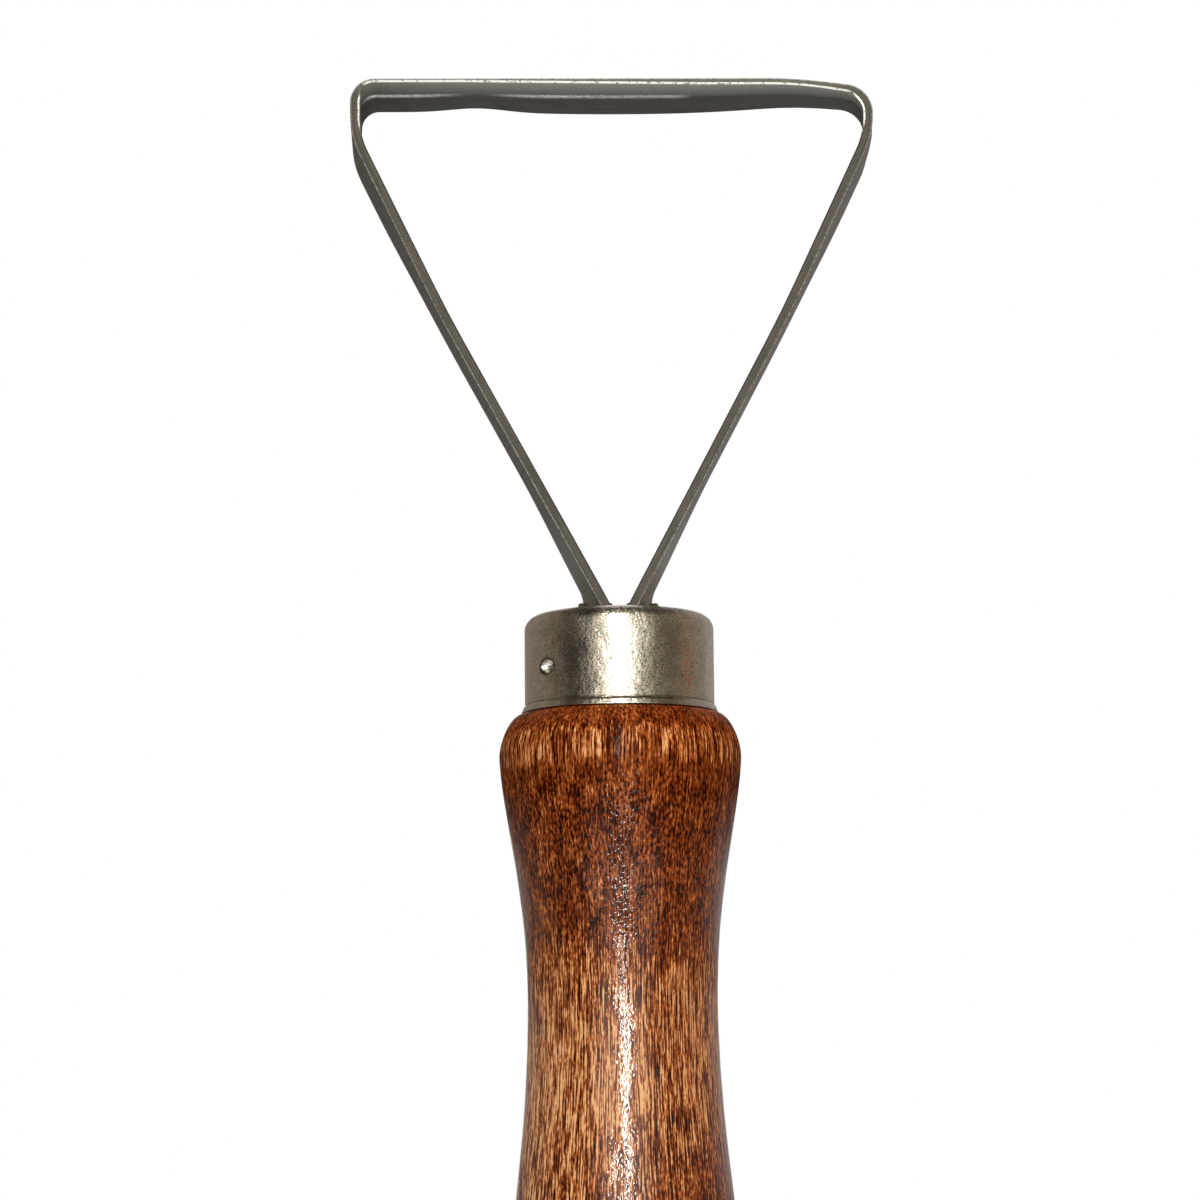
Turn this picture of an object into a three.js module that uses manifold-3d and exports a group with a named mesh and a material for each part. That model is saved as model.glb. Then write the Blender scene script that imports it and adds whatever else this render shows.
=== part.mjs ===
// Loop tool for trimming and hollowing clay: one steel strip bent to a triangle, ground along its front
// edge, and set with epoxy in a turned wooden handle under a drawn metal ferrule.
// Millimetres. +Z runs from the flat butt of the handle to the loop, and the ground edge faces -Y.
import * as THREE from "three";
import { mergeVertices } from "three/addons/utils/BufferGeometryUtils.js";
import Module from "manifold-3d";

const wasm = await Module();
wasm.setup();

// Clearance between pieces that touch, and the fineness of round shapes
const fitGap = 0.3;
const turnedSides = 48;
const pitSides = 20;
const bendStep = 9; // degrees
const runStep = 2.5;

// Handle. A drop is measured down from the seat of the ferrule.
const handleLength = 130;
const beadRadius = 12.72;
const beadDrop = 4.4;
const beadFullness = 1.65; // 2 is an ellipse, less is flatter
const waistRadius = 9.9;
const waistDrop = 29.8;
const waistSkew = 0.76; // 1 is an even sweep, less falls away faster under the bead
const palmRadius = 13.6;
const palmDrop = 78;
const buttRadius = 11.4;
const buttRounding = 9;
const buttFaceRadius = 5.5;
const seatReveal = 0.1; // wood that shows round the lip of the ferrule

// Ferrule: a drawn cup with a rounded shoulder, a slightly crowned end and a flared lip
const ferruleRadius = 10;
const ferruleHeight = 10.4;
const ferruleWall = 0.8;
const ferruleShoulder = 1.65;
const ferruleCrown = 0.4;
const lipHeight = 0.9;
const lipFlare = 0.4;

// Punch marks that lock the ferrule to the tenon
const punchCount = 2;
const punchRadius = 1;
const punchDepth = 0.75;
const punchHeight = 4.35; // above the rim of the ferrule
const punchAngle = 50.5; // degrees from the front, towards -X

// Steel strip. The loop is measured to its outer faces, along the front edge.
const stripWidth = 10;
const stripThickness = 1;
const brokenEdge = 0.12;
const loopWidth = 55.8;
const loopRise = 57.13; // crown of the ferrule to the top of the bar
const loopLean = 0.3; // top of the loop, to the left of the handle's axis
const barSlope = 0.21; // fall of the bar from its left end to the droop
const droopReach = 8.2; // from the right side of the loop
const droopRadius = 50;
const rightDrop = 1.28; // right corner below the left one
const leftCornerRadius = 2.6;
const rightCornerRadius = 3.1;
const cheekDrop = 6.4; // top of the loop to the bend under each corner
const cheekRadius = 10;
const legBow = 0.66;
const legBowAt = 0.62; // share of the leg's length, from the ferrule
const legBowRadius = 150;
const tangSpread = 3.5; // over the outer faces of the two tangs
const tangDepth = 24; // below the crown of the ferrule
const tangSink = 0.35; // bend of the tangs below the crown of the ferrule
const tangBendRadius = 3;

// Twist that the bending left in the strip: how far its back edge stands outside its front edge
const cheekSplay = 0.43; // at both corners
const splayStart = 28; // below the top of the loop
const splayFull = 12;
const leftTwist = -0.15; // more than that along the bar, at its left end
const rightTwist = 0.8;
const twistDepth = 7; // corner over which the twist goes back to the splay
const hollowRise = 0.5; // shallow hollow in the back of the bar
const hollowAt = -14.8;
const hollowReach = 4.2;
const footSplay = 0.5; // on the legs above the ferrule
const footSplayRise = 16;
const tangSplay = 1.5; // more than that on the tangs
const tangSplayRise = 3.2; // above the crown of the ferrule
const tangSplaySink = 1;

// Grinding of the front edge, on the inner side of the bar and the corners
const bevelWidth = 3.7;
const bevelDrop = 0.3;
const edgeBevelWidth = 0.3;
const edgeLand = 0.35; // flat that is left on the front edge
const grindingEnd = 3; // below the right corner
const grindingFade = 1.6;

// Epoxy: what fills the socket, and the bead at the outer foot of each leg
const socketFloor = 1.5; // depth of the socket below the tangs
const socketMargin = 0.5; // round the corners of the tangs
const windowMargin = 0.9; // wide sides of the tangs to the edge of the window
const beadOut = 2; // from its middle, which lies on the outer face of the leg
const beadLength = 8;
const beadForward = 1;
const beadRise = 1.2; // above the crown of the ferrule

// Levels and places that follow from the sizes above
const seatZ = handleLength;
const rimZ = seatZ + fitGap / 2;
const shoulderTopZ = rimZ + ferruleHeight;
const crownZ = shoulderTopZ + ferruleCrown;
const boreRadius = ferruleRadius - ferruleWall;
const tenonRadius = boreRadius - fitGap;
const tenonTopZ = shoulderTopZ - ferruleWall - fitGap;
const tenonShoulder = Math.max(ferruleShoulder - ferruleWall, 0.2) + fitGap;
const tangBottomZ = crownZ - tangDepth;
const tangReach = tangSpread / 2 + footSplay + tangSplay;
const socketRadius = Math.hypot(stripWidth / 2, tangReach) + fitGap + socketMargin;
const socketBottomZ = tangBottomZ - socketFloor;
const windowHalfX = tangReach + windowMargin + fitGap;
const windowHalfY = stripWidth / 2 + 2 * fitGap;
const loopTopZ = crownZ + loopRise;

// A closed geometry as a solid that can be joined and cut
function solidFrom(geometry) {
  const bare = geometry.clone();
  bare.deleteAttribute("normal");
  bare.deleteAttribute("uv");
  const merged = mergeVertices(bare, 1e-4);
  const corners = merged.index.array;
  const kept = [];
  for (let i = 0; i < corners.length; i += 3) {
    const [a, b, c] = corners.slice(i, i + 3);
    if (a !== b && b !== c && c !== a) kept.push(a, b, c);
  }
  return new wasm.Manifold(
    new wasm.Mesh({
      numProp: 3,
      vertProperties: merged.attributes.position.array,
      triVerts: new Uint32Array(kept),
    }),
  );
}

function geometryFrom(solid) {
  const mesh = solid.getMesh();
  const geometry = new THREE.BufferGeometry();
  geometry.setAttribute("position", new THREE.BufferAttribute(mesh.vertProperties, 3));
  geometry.setIndex(new THREE.BufferAttribute(mesh.triVerts, 1));
  geometry.computeVertexNormals();
  return geometry;
}

// A profile of [radius, height] points, listed anticlockwise, turned round the Z axis
function turned(profile, sides = turnedSides) {
  const points = profile.map(([radius, height]) => new THREE.Vector2(radius, height));
  return new THREE.LatheGeometry(points, sides).rotateX(Math.PI / 2);
}

function block(low, high) {
  const size = high.map((value, i) => value - low[i]);
  const middle = high.map((value, i) => (value + low[i]) / 2);
  return new THREE.BoxGeometry(...size).translate(...middle);
}

// Points along a curve, from t = 0 to 1, both ends included
function along(steps, pointAt) {
  return Array.from({ length: steps + 1 }, (_, i) => pointAt(i / steps));
}

// A quarter of a circle or ellipse in a profile, from one angle to another in degrees
function roundCorner(centre, radii, from, to, steps) {
  return along(steps, (t) => {
    const angle = THREE.MathUtils.degToRad(from + (to - from) * t);
    return [centre[0] + radii[0] * Math.cos(angle), centre[1] + radii[1] * Math.sin(angle)];
  });
}

// Even sweep from one radius to another, level at both ends
function sweep(from, to, t) {
  return from + ((to - from) * (1 - Math.cos(Math.PI * t))) / 2;
}

// Radius of the handle's long body between the waist and the butt, by its drop
function bodyRadius(drop) {
  if (drop < palmDrop) return sweep(waistRadius, palmRadius, (drop - waistDrop) / (palmDrop - waistDrop));
  return sweep(palmRadius, buttRadius, (drop - palmDrop) / (handleLength - palmDrop));
}

// Outside of the handle from the butt up to the seat
function handleOutline() {
  const roundedEnd = along(8, (t) => {
    const height = buttRounding * (1 - Math.cos((Math.PI / 2) * t));
    const out = Math.sin((Math.PI / 2) * t);
    return [buttFaceRadius + (bodyRadius(handleLength - height) - buttFaceRadius) * out, height];
  });
  const body = along(16, (t) => {
    const drop = THREE.MathUtils.lerp(handleLength - buttRounding, waistDrop, t);
    return [bodyRadius(drop), seatZ - drop];
  });
  const neck = along(9, (t) => [
    sweep(beadRadius, waistRadius, (1 - t) ** waistSkew),
    THREE.MathUtils.lerp(seatZ - waistDrop, seatZ - beadDrop, t),
  ]);
  const seatRadius = ferruleRadius + lipFlare + seatReveal;
  const bead = along(8, (t) => {
    const rise = Math.sin((Math.PI / 2) * t);
    const out = (1 - rise ** beadFullness) ** (1 / beadFullness);
    return [seatRadius + (beadRadius - seatRadius) * out, seatZ - beadDrop * (1 - rise)];
  });
  return [...roundedEnd, ...body.slice(1), ...neck.slice(1), ...bead.slice(1)];
}

// Turned handle with a tenon for the ferrule and a drilled socket for the tangs
function makeHandle() {
  const profile = [
    [0, 0],
    ...handleOutline(),
    [tenonRadius, seatZ],
    [tenonRadius, tenonTopZ - tenonShoulder],
    [tenonRadius - tenonShoulder, tenonTopZ],
    [socketRadius, tenonTopZ],
    [socketRadius, socketBottomZ],
    [0, socketBottomZ],
  ];
  let handle = solidFrom(turned(profile));
  const flank = Math.hypot(punchDepth, punchRadius) / punchRadius;
  const tip = ferruleRadius - punchDepth - ferruleWall - fitGap * flank;
  for (const pit of punchCones(tip, tenonRadius + 1)) handle = handle.subtract(pit);
  return geometryFrom(handle);
}

// Cones of the punch marks, pointing at the axis, with their tip and base that far from it
function punchCones(tipAt, baseAt) {
  const height = baseAt - tipAt;
  const radius = (height * punchRadius) / punchDepth;
  return Array.from({ length: punchCount }, (_, i) => {
    const turn = (i * 2 * Math.PI) / punchCount - THREE.MathUtils.degToRad(punchAngle);
    const cone = new THREE.ConeGeometry(radius, height, pitSides);
    return solidFrom(cone.translate(0, -(tipAt + baseAt) / 2, rimZ + punchHeight).rotateZ(turn));
  });
}

// Drawn cup over the tenon, open below, with one window in its end for the two tangs
function makeFerrule() {
  const flatRadius = ferruleRadius - ferruleShoulder;
  const innerShoulder = Math.max(ferruleShoulder - ferruleWall, 0.2);
  const crown = along(3, (t) => [flatRadius * t, shoulderTopZ + ferruleCrown * (1 - t * t)]);
  const outside = [
    ...roundCorner([ferruleRadius + lipFlare, rimZ + lipHeight], [lipFlare, lipHeight], 270, 180, 4),
    ...roundCorner([flatRadius, shoulderTopZ - ferruleShoulder], [ferruleShoulder, ferruleShoulder], 0, 90, 6),
    ...crown.reverse().slice(1),
  ];
  const inside = [
    [0, shoulderTopZ - ferruleWall],
    ...roundCorner(
      [boreRadius - innerShoulder, shoulderTopZ - ferruleWall - innerShoulder],
      [innerShoulder, innerShoulder],
      90,
      0,
      4,
    ),
    [boreRadius, rimZ],
  ];
  let ferrule = solidFrom(turned([...inside, ...outside]));
  for (const bump of punchCones(ferruleRadius - punchDepth - ferruleWall, ferruleRadius - ferruleWall / 2)) {
    ferrule = ferrule.add(bump);
  }
  for (const pit of punchCones(ferruleRadius - punchDepth, ferruleRadius + 1)) ferrule = ferrule.subtract(pit);
  const window = block(
    [-windowHalfX, -windowHalfY, shoulderTopZ - 2 * ferruleWall],
    [windowHalfX, windowHalfY, crownZ + 1],
  );
  return geometryFrom(ferrule.subtract(solidFrom(window)));
}

// Corners of the strip's outer face in the plane of the loop, with the radius of each bend
function loopCorners() {
  const side = loopWidth / 2;
  const bendZ = crownZ - tangSink;
  const cheekZ = loopTopZ - cheekDrop;
  const tang = new THREE.Vector2(tangSpread / 2, bendZ);
  const cheek = new THREE.Vector2(side, cheekZ);
  const outward = new THREE.Vector2(cheekZ - bendZ, tang.x - cheek.x).normalize();
  const knee = tang.clone().lerp(cheek, legBowAt).addScaledVector(outward, legBow);
  const leg = [
    { x: tang.x, z: tangBottomZ, radius: 0 },
    { x: tang.x, z: tang.y, radius: tangBendRadius },
    { x: knee.x, z: knee.y, radius: legBowRadius },
    { x: cheek.x, z: cheek.y, radius: cheekRadius },
  ];
  const upright = [
    ...leg.map((corner) => ({ ...corner, x: -corner.x })),
    { x: -side, z: loopTopZ, radius: leftCornerRadius },
    { x: side - droopReach, z: loopTopZ - barSlope, radius: droopRadius },
    { x: side, z: loopTopZ - rightDrop, radius: rightCornerRadius },
    ...[...leg].reverse(),
  ];
  return upright.map(({ x, z, radius }) => {
    const lean = (loopLean * Math.max(z - crownZ, 0)) / loopRise;
    return { x: x - lean, z, radius };
  });
}

// How far the back edge of the strip stands outside its front edge at a station
function backShift({ x, z }) {
  const { smoothstep } = THREE.MathUtils;
  const drop = loopTopZ - z;
  const rise = z - crownZ;
  const toEnd = smoothstep(Math.abs(x), 0, loopWidth / 2);
  const onBar = 1 - smoothstep(drop, stripThickness, twistDepth);
  const twist = (x < 0 ? leftTwist : rightTwist) * onBar * toEnd;
  const corner = (cheekSplay + twist) * toEnd * (1 - smoothstep(drop, splayFull, splayStart));
  const hollow = hollowRise * Math.exp(-(((x - hollowAt) / hollowReach) ** 2)) * onBar;
  const foot = footSplay * (1 - smoothstep(rise, 0, footSplayRise));
  const tang = tangSplay * (1 - smoothstep(rise, -tangSplaySink, tangSplayRise));
  return corner + hollow + foot + tang;
}

// Heading of the way from one corner to the next
function headingOf(from, to) {
  return Math.atan2(to.z - from.z, to.x - from.x);
}

function lengthOf(from, to) {
  return Math.hypot(to.x - from.x, to.z - from.z);
}

// Adds a straight run that ends at a corner, in steps
function addRun(stations, end) {
  const start = stations[stations.length - 1];
  const parts = Math.ceil(lengthOf(start, end) / runStep);
  for (let i = 1; i <= parts; i++) {
    const x = THREE.MathUtils.lerp(start.x, end.x, i / parts);
    const z = THREE.MathUtils.lerp(start.z, end.z, i / parts);
    stations.push({ x, z, heading: end.heading });
  }
}

// Adds a bend that starts at the last station and turns to the left by a signed angle
function addBend(stations, radius, turn) {
  const start = stations[stations.length - 1];
  const arm = Math.sign(turn) * radius;
  const centreX = start.x - arm * Math.sin(start.heading);
  const centreZ = start.z + arm * Math.cos(start.heading);
  const parts = Math.ceil(THREE.MathUtils.radToDeg(Math.abs(turn)) / bendStep);
  for (let i = 1; i <= parts; i++) {
    const heading = start.heading + (turn * i) / parts;
    stations.push({ x: centreX + arm * Math.sin(heading), z: centreZ - arm * Math.cos(heading), heading });
  }
}

// Stations along the outer face of the bent strip: a place and a heading, closer together round the bends.
// A bend takes up at most half of the runs beside it.
function loopStations() {
  const corners = loopCorners();
  const stations = [{ ...corners[0], heading: headingOf(corners[0], corners[1]) }];
  for (let i = 1; i + 1 < corners.length; i++) {
    const { x, z, radius } = corners[i];
    const heading = headingOf(corners[i - 1], corners[i]);
    const turn = headingOf(corners[i], corners[i + 1]) - heading;
    const perRadius = Math.tan(Math.abs(turn) / 2);
    const room = Math.min(lengthOf(corners[i - 1], corners[i]), lengthOf(corners[i], corners[i + 1])) / 2;
    const reach = Math.min(radius * perRadius, room);
    addRun(stations, { x: x - reach * Math.cos(heading), z: z - reach * Math.sin(heading), heading });
    addBend(stations, reach / perRadius, turn);
  }
  const heading = stations[stations.length - 1].heading;
  addRun(stations, { ...corners[corners.length - 1], heading });
  return stations;
}

// Section of the strip as [across, outward] points, anticlockwise seen along the strip.
// Grinding 0 leaves four broken edges, and grinding 1 has both bevels in full.
function stripSection(grinding) {
  const half = stripWidth / 2;
  const fade = (plain, ground) => THREE.MathUtils.lerp(plain, ground, grinding);
  const landEnd = -fade(stripThickness - brokenEdge, brokenEdge + edgeLand);
  const edgeAcross = fade(brokenEdge / 2, edgeBevelWidth);
  const edgeDrop = fade(brokenEdge / 2, bevelDrop);
  return [
    [half, brokenEdge - stripThickness],
    [half, -brokenEdge],
    [half - brokenEdge, 0],
    [brokenEdge - half, 0],
    [-half, -brokenEdge],
    [-half, landEnd],
    [edgeAcross - half, edgeDrop - stripThickness],
    [fade(brokenEdge, bevelWidth) - half, -stripThickness],
    [half - brokenEdge, -stripThickness],
  ];
}

// Closed skin through one section at each station, twisted as the strip is
function loft(stations, sectionAt) {
  const vertices = [];
  const faces = [];
  const sides = sectionAt(stations[0]).length;
  for (const station of stations) {
    const shift = backShift(station);
    for (const [across, outward] of sectionAt(station)) {
      const out = outward + shift * (across / stripWidth + 0.5);
      vertices.push(station.x - out * Math.sin(station.heading), across, station.z + out * Math.cos(station.heading));
    }
  }
  for (let i = 0; i + 1 < stations.length; i++) {
    for (let j = 0; j < sides; j++) {
      const here = i * sides + j;
      const beside = i * sides + ((j + 1) % sides);
      faces.push(here, beside, beside + sides, here, beside + sides, here + sides);
    }
  }
  const last = (stations.length - 1) * sides;
  for (let j = 1; j + 1 < sides; j++) faces.push(0, j + 1, j, last, last + j, last + j + 1);
  const geometry = new THREE.BufferGeometry();
  geometry.setAttribute("position", new THREE.Float32BufferAttribute(vertices, 3));
  geometry.setIndex(faces);
  geometry.computeVertexNormals();
  return geometry;
}

// One strip: tang, leg, bar with its ground edge, leg and tang
function makeBlade() {
  const fullZ = loopTopZ - rightDrop - grindingEnd;
  return loft(loopStations(), ({ z }) => {
    return stripSection(THREE.MathUtils.smoothstep(z, fullZ - grindingFade, fullZ));
  });
}

// Room for the foot of one leg and its tang, with clearance all round: side -1 is the left leg
function tangRoom(side) {
  const half = stripWidth / 2 + fitGap;
  const section = [
    [half, -stripThickness - fitGap],
    [half, fitGap],
    [-half, fitGap],
    [-half, -stripThickness - fitGap],
  ];
  const foot = loopStations().filter(({ x, z }) => x * side > 0 && z < crownZ + beadRise + runStep);
  const tip = side < 0 ? foot[0] : foot[foot.length - 1];
  tip.z -= fitGap;
  return solidFrom(loft(foot, () => section));
}

// Half the distance between the middles of the two tangs, by the place across the strip
function halfSpread(across) {
  const shift = (footSplay + tangSplay) * (across / stripWidth + 0.5);
  return (tangSpread - stripThickness) / 2 + shift;
}

// Open space between the feet of the legs, wider at the back
function betweenLegs() {
  const plan = [
    [-halfSpread(-stripWidth), -stripWidth],
    [halfSpread(-stripWidth), -stripWidth],
    [halfSpread(stripWidth), stripWidth],
    [-halfSpread(stripWidth), stripWidth],
  ];
  const outline = new THREE.Shape(plan.map(([x, y]) => new THREE.Vector2(x, y)));
  const space = new THREE.ExtrudeGeometry(outline, { depth: loopRise, bevelEnabled: false });
  return solidFrom(space.translate(0, 0, shoulderTopZ));
}

// Epoxy cast in the socket and up through the window, with a bead at the outer foot of each leg
function makeEpoxy() {
  const fillRadius = socketRadius - fitGap;
  let epoxy = solidFrom(
    turned([
      [0, socketBottomZ + fitGap],
      [fillRadius, socketBottomZ + fitGap],
      [fillRadius, tenonTopZ],
      [0, tenonTopZ],
    ]),
  );
  const neck = [windowHalfX - fitGap, windowHalfY - fitGap];
  const inWindow = block([-neck[0], -neck[1], tenonTopZ - ferruleWall], [...neck, shoulderTopZ]);
  epoxy = epoxy.add(solidFrom(inWindow));
  const reach = ferruleRadius;
  const column = solidFrom(block([-neck[0], -neck[1], tenonTopZ], [...neck, loopTopZ]));
  const free = column.add(solidFrom(block([-reach, -reach, crownZ + fitGap], [reach, reach, loopTopZ])));
  const middle = halfSpread(-beadForward) + stripThickness / 2;
  for (const side of [-1, 1]) {
    const bead = new THREE.SphereGeometry(1, pitSides, pitSides / 2)
      .scale(beadOut, beadLength / 2, beadRise)
      .translate(side * middle, -beadForward, crownZ);
    epoxy = epoxy.add(solidFrom(bead).intersect(free));
  }
  return geometryFrom(epoxy.subtract(betweenLegs()).subtract(tangRoom(-1)).subtract(tangRoom(1)));
}

function piece(name, geometry, color, roughness, metalness) {
  const mesh = new THREE.Mesh(geometry, new THREE.MeshStandardMaterial({ color, roughness, metalness }));
  mesh.name = name;
  return mesh;
}

const loopTool = new THREE.Group();
loopTool.add(
  piece("handle", makeHandle(), 0x7a4020, 0.35, 0),
  piece("ferrule", makeFerrule(), 0xa49b8e, 0.3, 1),
  piece("loop_blade", makeBlade(), 0x5e594f, 0.42, 1),
  piece("socket_epoxy", makeEpoxy(), 0x3a342c, 0.4, 0),
);

export default loopTool;
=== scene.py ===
import math
import bpy
import numpy as np
from mathutils import Matrix, Vector


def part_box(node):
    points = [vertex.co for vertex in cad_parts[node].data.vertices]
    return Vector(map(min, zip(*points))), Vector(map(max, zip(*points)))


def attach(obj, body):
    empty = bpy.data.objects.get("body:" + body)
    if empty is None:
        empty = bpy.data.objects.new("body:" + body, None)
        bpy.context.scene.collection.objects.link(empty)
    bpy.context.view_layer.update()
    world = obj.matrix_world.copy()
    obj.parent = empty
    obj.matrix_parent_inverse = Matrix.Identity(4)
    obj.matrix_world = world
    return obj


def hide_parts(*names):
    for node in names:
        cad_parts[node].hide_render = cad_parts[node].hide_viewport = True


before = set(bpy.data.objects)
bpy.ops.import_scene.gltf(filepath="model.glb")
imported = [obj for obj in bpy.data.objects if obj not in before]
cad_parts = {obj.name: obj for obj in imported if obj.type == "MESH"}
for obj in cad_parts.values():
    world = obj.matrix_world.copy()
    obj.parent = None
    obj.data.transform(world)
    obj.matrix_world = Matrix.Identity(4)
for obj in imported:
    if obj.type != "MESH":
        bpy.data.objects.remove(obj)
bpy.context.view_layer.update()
mm = 0.001  # sizes below are in millimetres, Blender's are in metres
body = "root"


def boxOf(node):
    low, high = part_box(node)
    return np.array(low) / mm, np.array(high) / mm


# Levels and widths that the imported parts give
ferruleLow, _ = boxOf("ferrule")
bladeLow, bladeHigh = boxOf("loop_blade")
epoxyLow, epoxyHigh = boxOf("socket_epoxy")
_, handleHigh = boxOf("handle")
fitGap = 0.3  # clearance between touching parts
tangDepth = 24.0  # of the strip below the crown of the ferrule
rimZ = ferruleLow[2]
crownZ = bladeLow[2] + tangDepth
seatZ = rimZ - fitGap / 2
stripHalf = (bladeHigh[1] - bladeLow[1]) / 2  # half the depth of the strip, front to back
print("frame loaded:", ", ".join(sorted(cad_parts)))


# Numbers

def smooth(low, high, value):
    t = np.clip((np.asarray(value, float) - low) / (high - low), 0, 1)
    return t * t * (3 - 2 * t)


def sweep(start, end, t):  # even change that is level at both ends
    return start + (end - start) * (1 - np.cos(np.pi * np.asarray(t, float))) / 2


def bell(value, centre, reach):
    return np.exp(-((value - centre) / reach) ** 2)


def stepsTo(start, end, count):  # ends of that many equal parts
    return np.linspace(start, end, count + 1)[1:]


def evenTurns(count):  # angles once round
    return np.arange(count) * 2 * np.pi / count


def arcSteps(centre, radius, fromDeg, toDeg, count):
    angles = np.radians(stepsTo(fromDeg, toDeg, count))
    return np.stack([centre[0] + radius * np.cos(angles), centre[1] + radius * np.sin(angles)], 1)


def squareRadius(angles, halves, power):  # how far out the edge of a rounded rectangle is
    across, along = np.abs(np.cos(angles)) / halves[0], np.abs(np.sin(angles)) / halves[1]
    return (across ** power + along ** power) ** (-1 / power)


def readStops(stops, at):  # straight between the stops, each a place with its value or values
    table = np.array(stops, float)
    values = [np.interp(at, table[:, 0], column) for column in table[:, 1:].T]
    return np.stack(values, -1) if len(values) > 1 else values[0]


# Meshes

def ringAt(angles, radius, z):
    return np.stack([radius * np.cos(angles), radius * np.sin(angles), z + 0 * angles], 1)


def ringFaces(rows, count, closeRows=False):
    below = np.arange(rows if closeRows else rows - 1)[:, None] * count
    above = (below + count) % (rows * count)
    j = np.arange(count)[None, :]
    turn = (j + 1) % count
    quads = np.stack([below + j, below + turn, above + turn, above + j], -1)
    return quads.reshape(-1, 4).tolist()


def closeEnds(points, count, firstTip, lastTip):  # rings of that many points, with a fan to a tip at each end
    faces = ringFaces(len(points) // count, count)
    first, last = len(points), len(points) - count
    for j in range(count):
        faces.append([first, (j + 1) % count, j])
        faces.append([first + 1, last + j, last + (j + 1) % count])
    return np.concatenate([points, [firstTip, lastTip]]), faces


def addObject(name, data):
    made = bpy.data.objects.new(name, data)
    bpy.context.scene.collection.objects.link(made)
    return made


def makePiece(name, points, faces, material, sharpDeg=40):
    mesh = bpy.data.meshes.new(name)
    mesh.from_pydata((np.asarray(points) * mm).tolist(), [], faces)
    mesh.shade_smooth()
    mesh.set_sharp_from_angle(angle=math.radians(sharpDeg))
    mesh.materials.append(material)
    return addObject(name, mesh)


def pointValues(piece, name, values):  # one number, or one vector, for each point
    values = np.asarray(values, np.float32)
    kind, key = ("FLOAT", "value") if values.ndim == 1 else ("FLOAT_VECTOR", "vector")
    layer = piece.data.attributes.new(name, kind, "POINT")
    layer.data.foreach_set(key, values.ravel())


def seatPiece(piece, node):
    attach(piece, body)
    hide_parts(node)
    print("made", piece.name, "with", len(piece.data.polygons), "faces")


# Material nodes

def paint(red, green, blue):  # a tone as read off a colour chart, 0 to 255
    shares = [c / 255 for c in (red, green, blue)]
    return (*[((c + 0.055) / 1.055) ** 2.4 if c > 0.04 else c / 12.92 for c in shares], 1)


def addNode(tree, kind, inputs=None, **settings):
    node = tree.nodes.new("ShaderNode" + kind)
    for key, value in settings.items():
        setattr(node, key, value)
    for key, value in (inputs or {}).items():
        if isinstance(value, bpy.types.NodeSocket):
            tree.links.new(value, node.inputs[key])
        else:
            node.inputs[key].default_value = value
    return node


def calc(tree, operation, a, b=0.0, clamp=False):
    return addNode(tree, "Math", {0: a, 1: b}, operation=operation, use_clamp=clamp).outputs[0]


def times(tree, a, b):
    return calc(tree, "MULTIPLY", a, b)


def weigh(tree, parts, start):  # start, and each part times its share
    total = start
    for value, share in parts:
        total = addNode(tree, "Math", {0: value, 1: share, 2: total}, operation="MULTIPLY_ADD").outputs[0]
    return total


def split(tree, vector):
    return addNode(tree, "SeparateXYZ", {0: vector}).outputs


def meshValue(tree, name, output="Fac"):  # what pointValues wrote
    return addNode(tree, "Attribute", attribute_name=name).outputs[output]


def objectPlace(tree):  # position in millimetres
    place = addNode(tree, "TexCoord").outputs["Object"]
    return addNode(tree, "VectorMath", {0: place, "Scale": 1 / mm}, operation="SCALE").outputs[0]


def roundPlace(tree, place, radius):  # way round the axis at that radius, distance from it and height
    x, y, z = split(tree, place)
    turn = calc(tree, "ARCTAN2", x, times(tree, y, -1.0))
    square = calc(tree, "ADD", times(tree, x, x), times(tree, y, y))
    inputs = {0: times(tree, turn, radius), 1: calc(tree, "SQRT", square), 2: z}
    return addNode(tree, "CombineXYZ", inputs).outputs[0]


def grainAt(tree, place, cell, detail, roughness, distortion=0.0):  # noise with cells of that size
    scale = tuple(1 / size for size in cell)
    coords = addNode(tree, "VectorMath", {0: place, 1: scale}, operation="MULTIPLY").outputs[0]
    inputs = {"Vector": coords, "Scale": 1.0, "Detail": detail, "Roughness": roughness,
              "Distortion": distortion}
    return addNode(tree, "TexNoise", inputs).outputs[0]


def remap(tree, value, low, high, toLow=0.0, toHigh=1.0, kind="SMOOTHSTEP"):
    inputs = {"Value": value, "From Min": low, "From Max": high, "To Min": toLow, "To Max": toHigh}
    return addNode(tree, "MapRange", inputs, interpolation_type=kind).outputs[0]


def stretch(tree, grain, reach):  # noise lies close round its middle, so this spreads it from 0 to 1
    return remap(tree, grain, 0.5 - reach, 0.5 + reach, kind="LINEAR")


def between(tree, value, low, high, soft):  # 1 from low to high, with a soft edge inside each end
    rise = remap(tree, value, low, low + soft)
    return times(tree, rise, remap(tree, value, high - soft, high, 1.0, 0.0))


def toneRamp(tree, value, stops):
    node = addNode(tree, "ValToRGB", {0: value})
    points = node.color_ramp.elements
    while len(points) < len(stops):
        points.new(0.5)
    for point, (at, tone) in zip(points, stops):
        point.position = at
        point.color = paint(*tone)
    return node.outputs[0]


def mixTones(tree, share, a, b, mode="MIX"):
    node = addNode(tree, "Mix", data_type="RGBA", blend_type=mode)
    for socket, value in ((node.inputs[0], share), (node.inputs[6], a), (node.inputs[7], b)):
        if isinstance(value, bpy.types.NodeSocket):
            tree.links.new(value, socket)
        else:
            socket.default_value = value
    return node.outputs[2]


def layTones(tree, tone, layers):  # each layer is how much of it shows, and its tone off the chart
    for share, chart in layers:
        tone = mixTones(tree, share, tone, paint(*chart))
    return tone


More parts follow.
